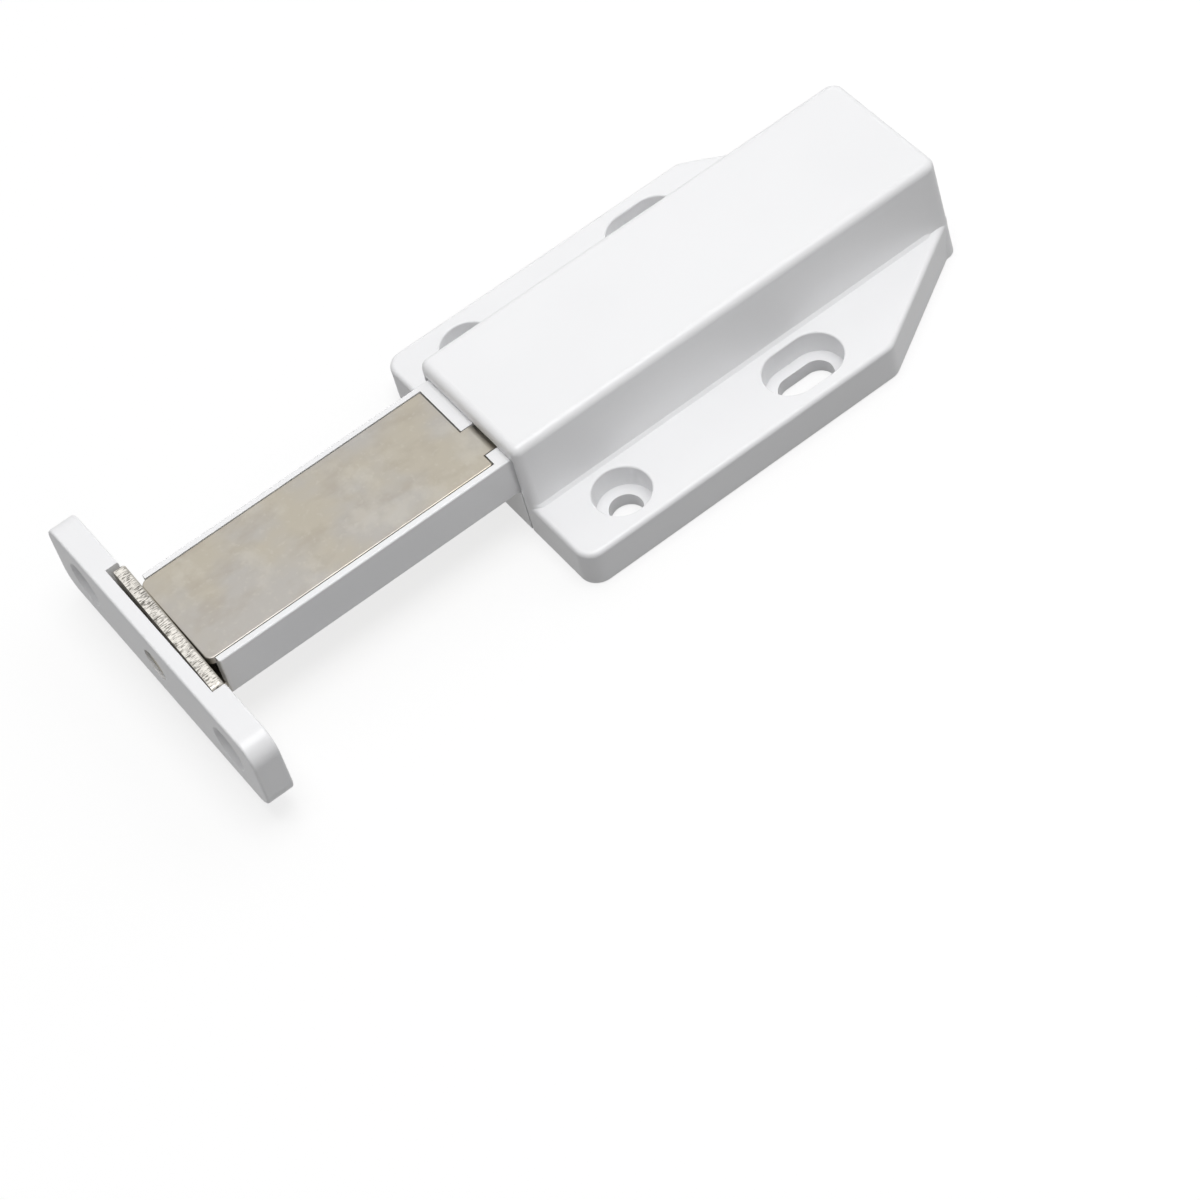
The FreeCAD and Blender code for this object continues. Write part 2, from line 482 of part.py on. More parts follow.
# The tip of the wire meets the keel at its rear, runs up the straight entry lane, drops
# back into the notch of the island to hold the plunger in, and leaves by the other lane.
tipStart = f"(dims.wireArm - {pivotSetback})"
topPocket = f"({tipStart} + {plungerTravel} + dims.laneWidth / 2 + 0.45)"
notch = f"({tipStart} + {latchTravel} - dims.wireDiameter / 2 - 0.2)"
entry, leave, half = "-dims.laneOffset", "dims.laneOffset", "dims.laneWidth / 2"
track = newSketch(plunger, "track", "XY_Plane", "dims.keelFloor")
addPolygon(track, [
    ("-dims.keelRear", f"{entry} - 2 * {half}"),
    ("-dims.keelRear + dims.laneWidth", f"{entry} - {half}"),
    (topPocket, f"{entry} - {half}"),
    (topPocket, f"{entry} + {half}"),
    (f"{topPocket} - dims.notchDepth", "dims.cuspWidth / 6"),
    (topPocket, f"{leave} - {half} + 0.1"),
    (topPocket, f"{leave} + {half}"),
    (f"{notch} - 4", f"{leave} + {half}"),
    ("-dims.keelRear + dims.laneWidth", f"{entry} + {half} + 0.3"),
    ("-dims.keelRear", f"{entry} + 2 * {half}")])
addPolygon(track, [
    (f"{notch}", "0"),
    (f"{notch} + dims.notchDepth", f"{entry} + {half} + 0.35"),
    (f"{notch} + dims.notchDepth / 2", f"{entry} + {half}"),
    (f"{notch} - 4.5", f"{entry} + {half}"),
    (f"{notch} - 3.3", f"{leave} - {half}"),
    (f"{notch} + dims.notchDepth / 2", f"{leave} - {half}"),
    (f"{notch} + dims.notchDepth", f"{leave} - {half} - 0.35")])
pocketOf(plunger, track, "dims.trackDepth", up=True)


# Both pole plates are one pressing. The lower one is the upper one turned over.
def polePlate(label):
    plate = newBody(label)
    blank = newSketch(plate, label + "Blank", "XY_Plane", plungerTop)
    edge = "dims.plateWidth / 2"
    bendStart = f"{tabRear} + dims.plateThickness + dims.tabBendRadius"
    addPolygon(blank, [
        (plateFront, f"-{edge}"), (plateFront, edge), ("dims.plateRear", edge),
        ("dims.plateRear", "dims.tabOffset + dims.tabWidth / 2"), (bendStart, "dims.tabOffset + dims.tabWidth / 2"),
        (bendStart, "dims.tabOffset - dims.tabWidth / 2"), ("dims.plateRear", "dims.tabOffset - dims.tabWidth / 2"),
        ("dims.plateRear", f"-{edge}")])
    padOf(plate, blank, "dims.plateThickness", back=True)
    tabSide = newSketch(plate, label + "Tab", "XZ_Plane", "-dims.tabOffset")
    roof, inner = number(plungerTop), number("dims.tabBendRadius")
    thick = number("dims.plateThickness")
    outer, start = inner + thick, number(bendStart)
    centre = Vector(start, roof - outer, 0)
    drop = number(f"{plungerTop} - dims.tabDrop")
    normal = Vector(0, 0, 1)
    curves = [
        Part.ArcOfCircle(Part.Circle(centre, normal, outer), quarter, 2 * quarter),
        Part.LineSegment(Vector(start - outer, roof - outer, 0), Vector(start - outer, drop, 0)),
        Part.LineSegment(Vector(start - outer, drop, 0), Vector(start - inner, drop, 0)),
        Part.LineSegment(Vector(start - inner, drop, 0), Vector(start - inner, roof - outer, 0)),
        Part.ArcOfCircle(Part.Circle(centre, normal, inner), quarter, 2 * quarter),
        Part.LineSegment(Vector(start, roof - thick, 0), Vector(start, roof, 0))]
    for curve in curves:
        tabSide.addGeometry(curve)
    for joint in ((0, 2, 1, 1), (1, 2, 2, 1), (2, 2, 3, 1), (3, 2, 4, 2), (4, 1, 5, 1), (5, 2, 0, 1)):
        tabSide.addConstraint(Sketcher.Constraint("Coincident", *joint))
    low, outerSide = f"{plungerTop} - dims.tabDrop", tabRear
    innerSide, bendLine = f"{tabRear} + dims.plateThickness", f"{plungerTop} - dims.plateThickness - dims.tabBendRadius"
    tiePoint(tabSide, 0, 3, bendStart, bendLine)
    tiePoint(tabSide, 4, 3, bendStart, bendLine)
    tiePoint(tabSide, 1, 1, outerSide, bendLine)
    tiePoint(tabSide, 2, 1, outerSide, low)
    tiePoint(tabSide, 3, 1, innerSide, low)
    tiePoint(tabSide, 3, 2, innerSide, bendLine)
    tie(tabSide, "DistanceX", bendStart, -1, 1, 5, 1)
    tie(tabSide, "DistanceX", bendStart, -1, 1, 5, 2)
    padOf(plate, tabSide, "dims.tabWidth", midplane=True)
    front, halfWide = number(plateFront), number(edge)
    blend(plate, label + "Corners", "dims.plateCornerRadius",
          lambda a, m, b: near(m.x, front) and near(abs(m.y), halfWide) and not near(a.z, b.z))
    rear, top = number("dims.plateRear"), number(plungerTop)
    blend(plate, label + "RearCorners", "dims.rearRadius",
          lambda a, m, b: near(m.x, rear) and near(abs(m.y), halfWide) and not near(a.z, b.z))
    blend(plate, label + "Roll", "dims.plateRoll",
          lambda a, m, b: near(a.z, top) and near(b.z, top) and near(m.z, top) and m.x > rear + 0.01)
    return plate


upperPlate = polePlate("upper_pole_plate")
lowerPlate = polePlate("lower_pole_plate")
lowerPlate.Placement = Placement(Vector(0, 0, 0), Rotation(Vector(1, 0, 0), 180))
lowerPlate.setExpression("Placement.Base.z", f"2 * {plungerMiddle}")

magnet = newBody("magnet")
block = newSketch(magnet, "block", "XY_Plane", "dims.plungerFloor + dims.plateThickness")
addRectangle(block, magnetRear, f"{magnetRear} + dims.magnetLength", "-dims.magnetWidth / 2", "dims.magnetWidth / 2")
padOf(magnet, block, "dims.plungerHeight - 2 * dims.plateThickness")


# Compression springs between the rear wall and the blind bores of the plunger.
def ejectorSpring(label, side):
    spring = newBody(label, x=f"dims.holeSetback - {rearInside} + dims.springWire / 2 + dims.fitGap",
                     y=f"{side}dims.springSpacing / 2", z=plungerMiddle)
    section = newSketch(spring, label + "Section", "XZ_Plane")
    addCircle(section, "0", "(dims.springDiameter - dims.springWire) / 2", "dims.springWire")
    doc.recompute()
    coil = spring.newObject("PartDesign::AdditiveHelix", label + "Coil")
    coil.Profile = section
    coil.ReferenceAxis = (next(f for f in spring.Origin.OriginFeatures if f.Role == "X_Axis"), [""])
    coil.Mode = "height-turns-angle"
    coil.setExpression("Height", f"{rearInside} - dims.plungerTail + dims.springBoreDepth - dims.springWire - 2 * dims.fitGap")
    coil.setExpression("Turns", "dims.springTurns")
    doc.recompute()
    return spring


leftSpring = ejectorSpring("spring_left", "-")
rightSpring = ejectorSpring("spring_right", "")

# Strike: the door's half, a moulded carrier with a steel keeper that floats on its stud.
carrier = newBody("strike_carrier", x=f"dims.holeSetback + {strikeFace}", z=strikeMiddle)
strikeOutline = newSketch(carrier, "strikeOutline", "YZ_Plane")
addRectangle(strikeOutline, "-dims.strikeLength / 2", "dims.strikeLength / 2", "-dims.strikeHeight / 2", "dims.strikeHeight / 2")
padOf(carrier, strikeOutline, "dims.strikeThickness")
reach, tall, thick = number("dims.strikeLength / 2"), number("dims.strikeHeight / 2"), number("dims.strikeThickness")
blend(carrier, "strikeCorners", "dims.strikeCornerRadius",
      lambda a, m, b: near(abs(m.y), reach) and near(abs(m.z), tall) and not near(a.x, b.x))
blend(carrier, "strikeEdges", "dims.strikeEdgeRadius",
      lambda a, m, b: near(a.x, b.x) and near(a.x, m.x))
recess = newSketch(carrier, "recess", "YZ_Plane")
addRectangle(recess, "dims.keeperOffset - dims.keeperLength / 2 - dims.recessGapLeft",
             "dims.keeperOffset + dims.keeperLength / 2 + dims.recessGapRight",
             "-dims.strikeHeight / 2 - 1", "dims.strikeHeight / 2 + 1")
pocketOf(carrier, recess, "dims.recessDepth", up=True)
strikeBores = newSketch(carrier, "strikeBores", "YZ_Plane", "dims.strikeThickness")
for side in ("", "-"):
    addCircle(strikeBores, f"{side}dims.strikeHoleSpacing / 2", "0", "dims.strikeHole")
pocketOf(carrier, strikeBores, "dims.strikeThickness")
sinkDepth = "((dims.countersink - dims.strikeHole) / 2)"
for name, side in (("sinkRight", ""), ("sinkLeft", "-")):
    sink = newSketch(carrier, name, "XY_Plane")
    axis = f"{side}dims.strikeHoleSpacing / 2"
    addPolygon(sink, [
        (f"dims.strikeThickness - {sinkDepth}", axis), ("dims.strikeThickness", axis),
        ("dims.strikeThickness", f"{axis} + dims.countersink / 2"),
        (f"dims.strikeThickness - {sinkDepth}", f"{axis} + dims.strikeHole / 2")])
    groove = carrier.newObject("PartDesign::Groove", name + "Groove")
    groove.Profile = sink
    groove.ReferenceAxis = (sink, ["Edge1"])
    groove.Angle = 360
    carrier.Tip = groove
    doc.recompute()
studPath = newSketch(carrier, "studPath", "YZ_Plane", "dims.strikeThickness")
addCircle(studPath, "0", "0", "dims.studDiameter + 2 * dims.fitGap")
pocketOf(carrier, studPath, "dims.strikeThickness")
studWell = newSketch(carrier, "studWell", "YZ_Plane", "dims.strikeThickness")
addCircle(studWell, "0", "0", "dims.studWell")
pocketOf(carrier, studWell, "dims.studWellDepth")

# Keeper: rests at its tilt against the plates, so its face is set back at the middle.
keeperLean = "(dims.plateWidth / 2 * tan(dims.keeperTilt * 1 deg))"
keeperFace = f"({plateFront} + dims.keeperGap + {keeperLean})"
keeperBack = f"({keeperFace} + dims.keeperThickness)"
keeper = newBody("keeper_plate", x=f"dims.holeSetback + {keeperBack}", z=strikeMiddle)
keeper.Placement = Placement(keeper.Placement.Base, Rotation(Vector(0, 0, 1), -number("dims.keeperTilt")))
keeper.setExpression("Placement.Rotation.Angle", "dims.keeperTilt * 1 deg")
keeper.setExpression("Placement.Rotation.Axis.z", "-1")
keeperOutline = newSketch(keeper, "keeperOutline", "YZ_Plane")
addRectangle(keeperOutline, "dims.keeperOffset - dims.keeperLength / 2", "dims.keeperOffset + dims.keeperLength / 2",
             "-dims.strikeHeight / 2 + dims.keeperDrop", "dims.strikeHeight / 2")
padOf(keeper, keeperOutline, "dims.keeperThickness", back=True)
keeperHole = newSketch(keeper, "keeperHole", "YZ_Plane")
addCircle(keeperHole, "0", "0", "dims.studDiameter + 2 * dims.keeperHoleGap")
pocketOf(keeper, keeperHole, "dims.keeperThickness", up=False)
keeperSink = newSketch(keeper, "keeperSink", "XY_Plane")
addPolygon(keeperSink, [
    ("-dims.keeperThickness", "0"), ("-dims.keeperThickness + dims.studHeadDepth", "0"),
    ("-dims.keeperThickness + dims.studHeadDepth", "dims.studDiameter / 2 + dims.keeperHoleGap"),
    ("-dims.keeperThickness", "dims.studHead / 2 + dims.keeperHoleGap")])
keeperCone = keeper.newObject("PartDesign::Groove", "keeperCone")
keeperCone.Profile = keeperSink
keeperCone.ReferenceAxis = (keeperSink, ["Edge1"])
keeperCone.Angle = 360
keeper.Tip = keeperCone
doc.recompute()
blend(keeper, "keeperCorners", "dims.keeperCornerRadius",
      lambda a, m, b: not near(a.x, b.x) and not near(abs(m.z), 0, 3))
keeperFront = number("-dims.keeperThickness")
blend(keeper, "keeperRolled", "dims.keeperRoll",
      lambda a, m, b: near(a.x, keeperFront) and near(b.x, keeperFront) and near(m.x, keeperFront) and not near(abs(m.z), 0, 3.5)
      or near(a.x, keeperFront) and near(b.x, keeperFront) and abs(m.y) > 5 and near(a.y, b.y))

# Stud: a countersunk head in the keeper and a closing head sunk in the carrier's back.
stud = newBody("keeper_stud", z=strikeMiddle)
studProfile = newSketch(stud, "studProfile", "XY_Plane")
headFace = f"({keeperFace} + dims.studInset)"
wellFloor = f"({strikeFace} + dims.strikeThickness - dims.studWellDepth)"
addPolygon(studProfile, [
    (headFace, "0"), (f"{wellFloor} + dims.studHeadDepth", "0"),
    (f"{wellFloor} + dims.studHeadDepth", "dims.studHead / 2"), (wellFloor, "dims.studHead / 2"),
    (wellFloor, "dims.studDiameter / 2"), (f"{headFace} + dims.studHeadDepth", "dims.studDiameter / 2"),
    (headFace, "dims.studHead / 2")])
studTurned = stud.newObject("PartDesign::Revolution", "studTurned")
studTurned.Profile = studProfile
studTurned.ReferenceAxis = (studProfile, ["Edge1"])
studTurned.Angle = 360
doc.recompute()

failed = [each.Name for each in doc.Objects if "Invalid" in each.State or "Error" in each.State]
if failed:
    raise RuntimeError("failed: " + ", ".join(failed))

os.makedirs("parts", exist_ok=True)
for piece in (each for each in doc.Objects if each.isDerivedFrom("PartDesign::Body")):
    if piece.Shape.isNull() or not piece.Shape.isValid() or not piece.Shape.Solids:
        raise RuntimeError(piece.Label + " has no valid solid")
    piece.Shape.exportStep(f"parts/{piece.Label}.step")
    box = piece.Shape.BoundBox
    print(f"{piece.Label:18s} {len(piece.Shape.Solids)} solid {piece.Shape.Volume:9.1f} mm3  "
          f"x {box.XMin:.2f}..{box.XMax:.2f}  y {box.YMin:.2f}..{box.YMax:.2f}  z {box.ZMin:.2f}..{box.ZMax:.2f}")
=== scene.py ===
import bpy
import json
import math
from mathutils import Matrix, Vector


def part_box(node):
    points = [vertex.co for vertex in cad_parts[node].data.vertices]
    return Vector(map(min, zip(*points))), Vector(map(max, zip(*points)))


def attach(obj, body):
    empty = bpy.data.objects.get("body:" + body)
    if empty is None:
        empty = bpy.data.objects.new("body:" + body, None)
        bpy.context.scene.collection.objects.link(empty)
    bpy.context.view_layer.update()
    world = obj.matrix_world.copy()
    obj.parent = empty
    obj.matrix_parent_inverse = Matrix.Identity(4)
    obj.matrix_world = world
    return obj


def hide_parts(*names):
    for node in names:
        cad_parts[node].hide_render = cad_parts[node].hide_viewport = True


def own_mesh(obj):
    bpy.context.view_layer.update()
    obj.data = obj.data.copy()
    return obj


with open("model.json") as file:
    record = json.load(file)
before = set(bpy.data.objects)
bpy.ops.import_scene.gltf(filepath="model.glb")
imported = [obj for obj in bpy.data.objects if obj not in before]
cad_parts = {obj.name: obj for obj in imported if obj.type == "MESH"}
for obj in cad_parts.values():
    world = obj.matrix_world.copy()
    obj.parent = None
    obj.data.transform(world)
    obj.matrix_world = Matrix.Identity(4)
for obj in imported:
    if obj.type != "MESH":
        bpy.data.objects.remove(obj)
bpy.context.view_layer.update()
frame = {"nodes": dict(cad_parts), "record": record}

nodes = frame["nodes"]
print("frame loaded:", len(nodes), "nodes")

# Camera: the photograph's viewpoint, found from the housing's edges and screw holes.
camera = {
    "place": (0.127874, 0.298646, 0.380599),  # metres
    "right": (-0.788438, 0.590970, -0.170643),
    "up": (-0.554143, -0.561990, 0.614079),
    "focal": 3678.83,  # pixels of the frame
    "centre": (630.56, 480.46),  # where the optical axis meets the picture
    "frame": 1200,  # pixels
    "sensor": 36,  # millimetres
    "near": 0.01,  # metres
    "far": 20,
}


def addCamera(size):
    data = bpy.data.cameras.new("photoCamera")
    cam = bpy.data.objects.new("photoCamera", data)
    bpy.context.scene.collection.objects.link(cam)
    right, up = Vector(size["right"]).normalized(), Vector(size["up"]).normalized()
    back = right.cross(up)
    turn = Matrix((right, up, back)).transposed().to_4x4()
    cam.matrix_world = Matrix.Translation(size["place"]) @ turn
    data.sensor_width = size["sensor"]
    data.lens = size["focal"] / size["frame"] * data.sensor_width
    data.shift_x = (size["frame"] / 2 - size["centre"][0]) / size["frame"]
    data.shift_y = (size["centre"][1] - size["frame"] / 2) / size["frame"]
    data.clip_start, data.clip_end = size["near"], size["far"]
    bpy.context.scene.camera = cam


addCamera(camera)
print("camera placed")


# One output of a shader's node, so that its maths can be written as an expression.
class Socket:
    def __init__(self, shader, out):
        self.shader, self.out = shader, out

    def math(self, operation, *values):
        return self.shader.add("ShaderNodeMath", {"operation": operation}, values)

    def __add__(self, other):
        return self.math("ADD", self, other)

    def __radd__(self, other):
        return self.math("ADD", other, self)

    def __sub__(self, other):
        return self.math("SUBTRACT", self, other)

    def __rsub__(self, other):
        return self.math("SUBTRACT", other, self)

    def __mul__(self, other):
        return self.math("MULTIPLY", self, other)

    def __rmul__(self, other):
        return self.math("MULTIPLY", other, self)

    # 0 below low, 1 above high, smooth between
    def step(self, low, high):
        settings = {"interpolation_type": "SMOOTHSTEP"}
        return self.shader.add("ShaderNodeMapRange", settings, [self, low, high, 0, 1])

    # as step, but up to this share
    def cover(self, low, high, share):
        return self.step(low, high) * share

    # a noise, which lies around a half, as a change of this width around 0
    def swing(self, width):
        return (self - 0.5) * width


# The nodes of a material or of the world.
class Shader:
    def __init__(self, owner, output):
        owner.use_nodes = True
        self.owner, self.tree = owner, owner.node_tree
        self.tree.nodes.clear()
        self.output = self.tree.nodes.new(output)

    def add(self, kind, settings=None, inputs=(), out=0):
        node = self.tree.nodes.new(kind)
        for key, value in (settings or {}).items():
            setattr(node, key, value)
        for key, value in inputs.items() if isinstance(inputs, dict) else enumerate(inputs):
            if isinstance(value, Socket):
                self.tree.links.new(value.out, node.inputs[key])
            else:
                node.inputs[key].default_value = value
        return Socket(self, node.outputs[out])

    def coordinates(self, kind="Object"):
        return self.add("ShaderNodeTexCoord", out=kind)

    def parts(self, vector):
        node = self.add("ShaderNodeSeparateXYZ", inputs=[vector]).out.node
        return [Socket(self, each) for each in node.outputs]

    # 1 on rays of this kind and 0 on others
    def ray(self, kind):
        return self.add("ShaderNodeLightPath", out="Is " + kind + " Ray")

    def noise(self, vector, scale, detail=2, rough=0.5, stretch=(1, 1, 1)):
        moved = self.add("ShaderNodeMapping", inputs={"Vector": vector, "Scale": stretch})
        inputs = {"Vector": moved, "Scale": scale, "Detail": detail, "Roughness": rough}
        return self.add("ShaderNodeTexNoise", inputs=inputs)

    # colour a where factor is 0 and b where it is 1; the node's colours are its inputs 6 and 7
    def mix(self, factor, a, b):
        return self.add("ShaderNodeMix", {"data_type": "RGBA"}, {0: factor, 6: a, 7: b}, out=2)

    def bump(self, height, depth):
        distance, strength = depth
        inputs = {"Height": height, "Distance": distance, "Strength": strength}
        return self.add("ShaderNodeBump", inputs=inputs)

    def surface(self, kind, inputs):
        shader = self.add(kind, inputs=inputs)
        self.tree.links.new(shader.out, self.output.inputs["Surface"])
        return self.owner


def newSkin(name):
    return Shader(bpy.data.materials.new(name), "ShaderNodeOutputMaterial")


# In each finish a range says between which values of a noise a colour turns into the next.
# A cover is such a range and the largest share, and a bump is metres and strength.
plastic = {
    "white": (0.868, 0.869, 0.878, 1),
    "shade": (0.85, 0.851, 0.861, 1),
    "clouds": {"scale": 35},
    "cloudRange": (0.35, 0.65),
    "grain": {"scale": 1400},
    "waves": {"scale": 60, "detail": 1},
    "waveBump": (0.00002, 0.35),
    "roughness": 0.33,
    "cloudRoughness": 0.06,
    "grainRoughness": 0.04,
    "refraction": 1.5,
    "coat": 0.08,
    "coatRoughness": 0.15,
}


def makePlastic(name, look):
    skin = newSkin(name)
    place = skin.coordinates()
    clouds = skin.noise(place, **look["clouds"])
    grain = skin.noise(place, **look["grain"])
    waves = skin.noise(place, **look["waves"])
    colour = skin.mix(clouds.step(*look["cloudRange"]), look["white"], look["shade"])
    rough = (look["roughness"] + clouds.swing(look["cloudRoughness"])
             + grain.swing(look["grainRoughness"]))
    return skin.surface("ShaderNodeBsdfPrincipled", {
        "Base Color": colour,
        "Roughness": rough,
        "IOR": look["refraction"],
        "Normal": skin.bump(waves, look["waveBump"]),
        "Coat Weight": look["coat"],
        "Coat Roughness": look["coatRoughness"],
    })


# Nickel over cold-rolled sheet: broad clouds, a few faint stains, rubbed patches and a fine grain.
steel = {
    "warm": (0.458, 0.421, 0.352, 1),
    "cool": (0.430, 0.410, 0.383, 1),
    "stain": (0.350, 0.310, 0.258, 1),
    "rubbed": (0.545, 0.520, 0.462, 1),
    "clouds": {"scale": 75, "detail": 3, "rough": 0.55},
    "cloudRange": (0.38, 0.60),
    "stains": {"scale": 210, "detail": 3, "rough": 0.6, "stretch": (0.6, 1, 1)},
    "stainCover": (0.46, 0.68, 0.45),
    "rubs": {"scale": 160, "detail": 4, "rough": 0.6, "stretch": (1, 0.7, 1)},
    "rubCover": (0.50, 0.66, 0.4),
    "specks": {"scale": 1100},
    "speckCover": (0.56, 0.72, 0.25),
    "speckHeight": 0.3,
    "grain": {"scale": 3200, "rough": 0.6},
    "grainHeight": 0.5,
    "rolled": {"scale": 1800, "stretch": (0.12, 1, 1)},
    "rolledHeight": 0.4,
    "bump": (0.00002, 0.2),
    "roughness": 0.36,
    "cloudRoughness": 0.10,
    "stainRoughness": 0.12,
    "grainRoughness": 0.08,
}


def makePlateSteel(name, look):
    skin = newSkin(name)
    place = skin.coordinates()
    clouds = skin.noise(place, **look["clouds"])
    stains = skin.noise(place, **look["stains"])
    rubs = skin.noise(place, **look["rubs"])
    specks = skin.noise(place, **look["specks"])
    grain = skin.noise(place, **look["grain"])
    rolled = skin.noise(place, **look["rolled"])
    colour = skin.mix(clouds.step(*look["cloudRange"]), look["warm"], look["cool"])
    colour = skin.mix(stains.cover(*look["stainCover"]), colour, look["stain"])
    colour = skin.mix(rubs.cover(*look["rubCover"]), colour, look["rubbed"])
    colour = skin.mix(specks.cover(*look["speckCover"]), colour, look["rubbed"])
    rough = (look["roughness"] + clouds.swing(look["cloudRoughness"])
             + stains.swing(look["stainRoughness"]) + grain.swing(look["grainRoughness"]))
    height = (grain * look["grainHeight"] + specks * look["speckHeight"]
              + rolled * look["rolledHeight"])
    return skin.surface("ShaderNodeBsdfPrincipled", {
        "Base Color": colour,
        "Metallic": 1.0,
        "Roughness": rough,
        "Normal": skin.bump(height, look["bump"]),
    })


# The keeper's sheared edge has short ridges across its thickness, in clumps along its length.
keeper = {
    "bright": (0.71, 0.683, 0.635, 1),
    "dull": (0.115, 0.107, 0.093, 1),
    "face": (0.50, 0.475, 0.425, 1),
    "edgeRange": (0.5, 0.9),  # of the normal's part across X, squared: 1 on the four edges
    "ridges": {"scale": 5600, "rough": 0.6, "stretch": (0.16, 1, 0.16)},
    "ridgeShare": 0.55,
    "breaks": {"scale": 3600, "detail": 3, "rough": 0.65, "stretch": (0.6, 1, 0.6)},
    "breakShare": 0.3,
    "clumps": {"scale": 520},
    "clumpShare": 0.15,
    "tornRange": (0.39, 0.55),
    "height": 0.6,  # of the ridges and of the breaks
    "bump": (0.00005, 0.5),
    "roughness": 0.44,
    "ridgeRoughness": 0.25,
    "clumpRoughness": 0.1,
}


def makeKeeperSteel(name, look):
    skin = newSkin(name)
    place = skin.coordinates()
    ridges = skin.noise(place, **look["ridges"])
    breaks = skin.noise(place, **look["breaks"])
    clumps = skin.noise(place, **look["clumps"])
    _, y, z = skin.parts(skin.coordinates("Normal"))
    edge = (z * z + y * y).step(*look["edgeRange"])
    torn = ridges * look["ridgeShare"] + breaks * look["breakShare"] + clumps * look["clumpShare"]
    sheared = skin.mix(torn.step(*look["tornRange"]), look["dull"], look["bright"])
    rough = (look["roughness"] + ridges.swing(look["ridgeRoughness"]) * edge
             + clumps.swing(look["clumpRoughness"]))
    height = (ridges * look["height"] + breaks * look["height"]) * edge
    return skin.surface("ShaderNodeBsdfPrincipled", {
        "Base Color": skin.mix(edge, look["face"], sheared),
        "Metallic": 1.0,
        "Roughness": rough,
        "Normal": skin.bump(height, look["bump"]),
    })


wire = {
    "colour": (0.55, 0.55, 0.55, 1),
    "drawn": {"scale": 800, "stretch": (0.1, 1, 1)},
    "roughness": 0.28,
    "drawnRoughness": 0.12,
}


def makeWire(name, look):
    skin = newSkin(name)
    drawn = skin.noise(skin.coordinates(), **look["drawn"])
    return skin.surface("ShaderNodeBsdfPrincipled", {
        "Base Color": look["colour"],
        "Metallic": 1.0,
        "Roughness": look["roughness"] + drawn.swing(look["drawnRoughness"]),
    })


ferrite = {
    "dark": (0.045, 0.045, 0.05, 1),
    "light": (0.075, 0.075, 0.08, 1),
    "pores": {"scale": 1800, "detail": 3, "rough": 0.6},
    "poreRange": (0.4, 0.6),
    "bump": (0.00003, 0.4),
    "roughness": 0.6,
    "poreRoughness": 0.2,
}


def makeFerrite(name, look):
    skin = newSkin(name)
    pores = skin.noise(skin.coordinates(), **look["pores"])
    colour = skin.mix(pores.step(*look["poreRange"]), look["dark"], look["light"])
    return skin.surface("ShaderNodeBsdfPrincipled", {
        "Base Color": colour,
        "Roughness": look["roughness"] + pores.swing(look["poreRoughness"]),
        "Normal": skin.bump(pores, look["bump"]),
    })


finishes = {
    "whiteMoulding": {
        "make": makePlastic, "look": plastic,
        "pieces": ["housing", "base_tray", "plunger_body", "strike_carrier"],
    },
    "nickelPlate": {
        "make": makePlateSteel, "look": steel,
        "pieces": ["upper_pole_plate", "lower_pole_plate", "keeper_stud"],
    },
    "shearedKeeper": {"make": makeKeeperSteel, "look": keeper, "pieces": ["keeper_plate"]},
    "springWire": {
        "make": makeWire, "look": wire,
        "pieces": ["spring_left", "spring_right", "latch_wire", "wire_retainer"],
    },
    "ferriteBlock": {"make": makeFerrite, "look": ferrite, "pieces": ["magnet"]},
}
for name, finish in finishes.items():
    material = finish["make"](name, finish["look"])
    for piece in finish["pieces"]:
        slots = nodes[piece].data.materials
        slots.clear()
        slots.append(material)
print("finishes on the solids")

# The ejector springs stand on the housing's rear wall.
ejector = {
    "springs": {"spring_left": "ejectorCoilLeft", "spring_right": "ejectorCoilRight"},
    "joint": "plunger_slide",
    "sameCorner": 0.000001,  # metres, corners nearer than this are one
    "smoothBelow": 40,  # degrees
}


def addEjectorSpring(node, name, look):
    low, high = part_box(node)
    joints = frame["record"]["behaviour"]["joints"]
    slide = [joint for joint in joints if joint["name"] == look["joint"]][0]
    travel = slide["range_m"][1] - slide["range_m"][0]
    length = high[0] - low[0]
    coil = bpy.data.objects.new(name, nodes[node].data.copy())
    bpy.context.scene.collection.objects.link(coil)
    bpy.ops.object.select_all(action="DESELECT")
    coil.select_set(True)
    bpy.context.view_layer.objects.active = coil
    bpy.ops.object.mode_set(mode="EDIT")
    bpy.ops.mesh.select_all(action="SELECT")
    bpy.ops.mesh.remove_doubles(threshold=look["sameCorner"])
    bpy.ops.object.mode_set(mode="OBJECT")
    bpy.ops.object.shade_smooth_by_angle(angle=math.radians(look["smoothBelow"]))
    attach(coil, "housing")
    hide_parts(node)
    1 - travel / length
    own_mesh(coil)


for node, name in ejector["springs"].items():
    addEjectorSpring(node, name, ejector)
print("ejector springs in place")

# Floor and surround: white to the camera and in gloss, with the object's soft shadow.
studio = {
    "floorSize": 8.0,  # metres
    "floorDrop": 0.0002,  # metres below the object's base
    "paper": (0.25, 0.25, 0.25, 1),  # what the floor sends back to the object
    "seenPaper": (1.0, 1.0, 1.0, 1),  # what the camera sees, with the shadow on it
    "seenWhite": 0.75,  # share of plain white over that, near the object
    "fade": (0.4, 1.6),  # metres from the object, between which it turns all white
    "white": (1, 1, 1, 1),
    "world": 0.23,  # strength of the surround as a light on the object
    "seenWorld": 1.0,  # its strength to the camera and in gloss
    "aim": (0, 0, 0),  # where the lamps point, the middle of the object's base
}


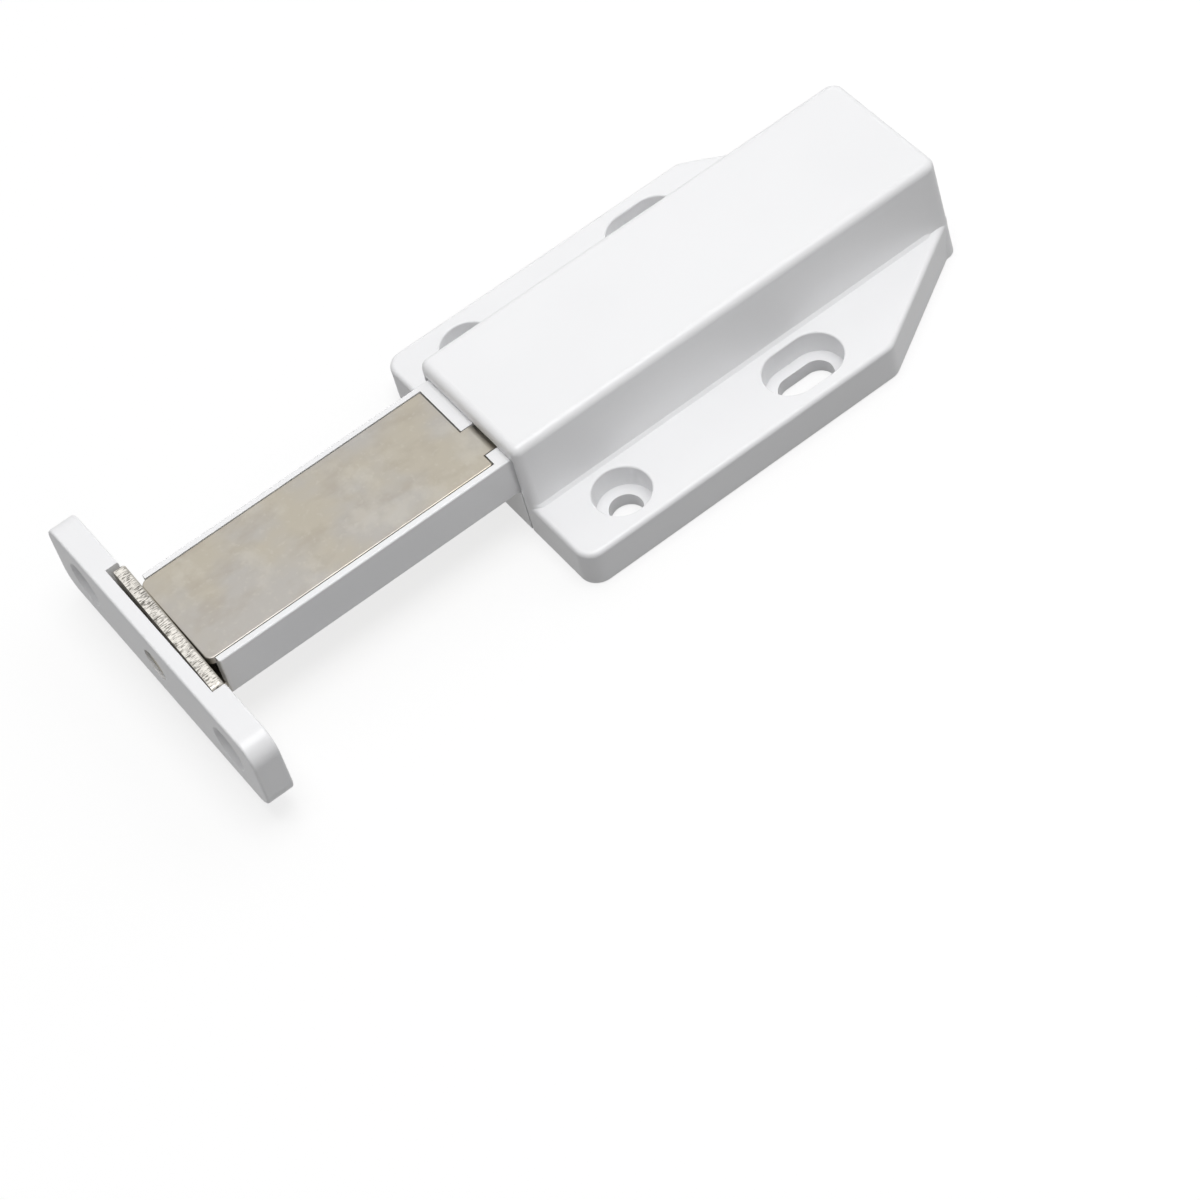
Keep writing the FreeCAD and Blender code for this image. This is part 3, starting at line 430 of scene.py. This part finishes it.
def addFloor(size):
    bpy.ops.object.select_all(action="DESELECT")
    place = (0, 0, -size["floorDrop"])
    bpy.ops.mesh.primitive_plane_add(size=size["floorSize"], location=place)
    floor = bpy.context.object
    floor.name = "floor"
    skin = newSkin("floorPaper")
    seen = skin.ray("Camera")
    colour = skin.mix(seen, size["paper"], size["seenPaper"])
    paper = skin.add("ShaderNodeBsdfDiffuse", inputs={"Color": colour})
    white = skin.add("ShaderNodeEmission", inputs={"Color": size["white"]})
    x, y, _ = skin.parts(skin.coordinates())
    square = x * x + y * y
    far = square.math("SQRT", square).step(*size["fade"])
    cover = size["seenWhite"] + far * (1 - size["seenWhite"])
    shown = seen + skin.ray("Glossy")
    share = shown.math("MINIMUM", shown, 1.0) * cover
    floor.data.materials.append(skin.surface("ShaderNodeMixShader", [share, paper, white]))


addFloor(studio)


def addWorld(size):
    sky = Shader(bpy.data.worlds.new("studioWorld"), "ShaderNodeOutputWorld")
    shown = sky.ray("Camera") + sky.ray("Glossy")
    share = shown.math("MINIMUM", shown, 1.0)
    strength = size["world"] + share * (size["seenWorld"] - size["world"])
    inputs = {"Color": size["white"], "Strength": strength}
    bpy.context.scene.world = sky.surface("ShaderNodeBackground", inputs)


addWorld(studio)

# Square lamps that point at the object. Only one that is mirrored shows in gloss.
lamps = {
    "key": {"place": (-0.02, 0.10, 1.30), "size": 0.8, "power": 10.0, "mirrored": True},
    "back": {"place": (-0.40, -0.90, 1.15), "size": 1.6, "power": 4.8, "mirrored": False},
    "rear": {"place": (-1.10, 0.0, 0.80), "size": 1.2, "power": 3.6, "mirrored": False},
    "side": {"place": (0.0, 1.10, 0.80), "size": 1.2, "power": 2.1, "mirrored": False},
}


def addLamp(name, size, aim):
    data = bpy.data.lights.new(name, "AREA")
    data.energy, data.size = size["power"], size["size"]
    lamp = bpy.data.objects.new(name, data)
    bpy.context.scene.collection.objects.link(lamp)
    lamp.location = size["place"]
    lamp.visible_glossy = size["mirrored"]
    lamp.rotation_mode = "QUATERNION"
    lamp.rotation_quaternion = (Vector(aim) - lamp.location).to_track_quat("-Z", "Y")


for name, size in lamps.items():
    addLamp(name + "Lamp", size, studio["aim"])
bpy.context.scene.view_settings.view_transform = "Standard"
print("studio lit")
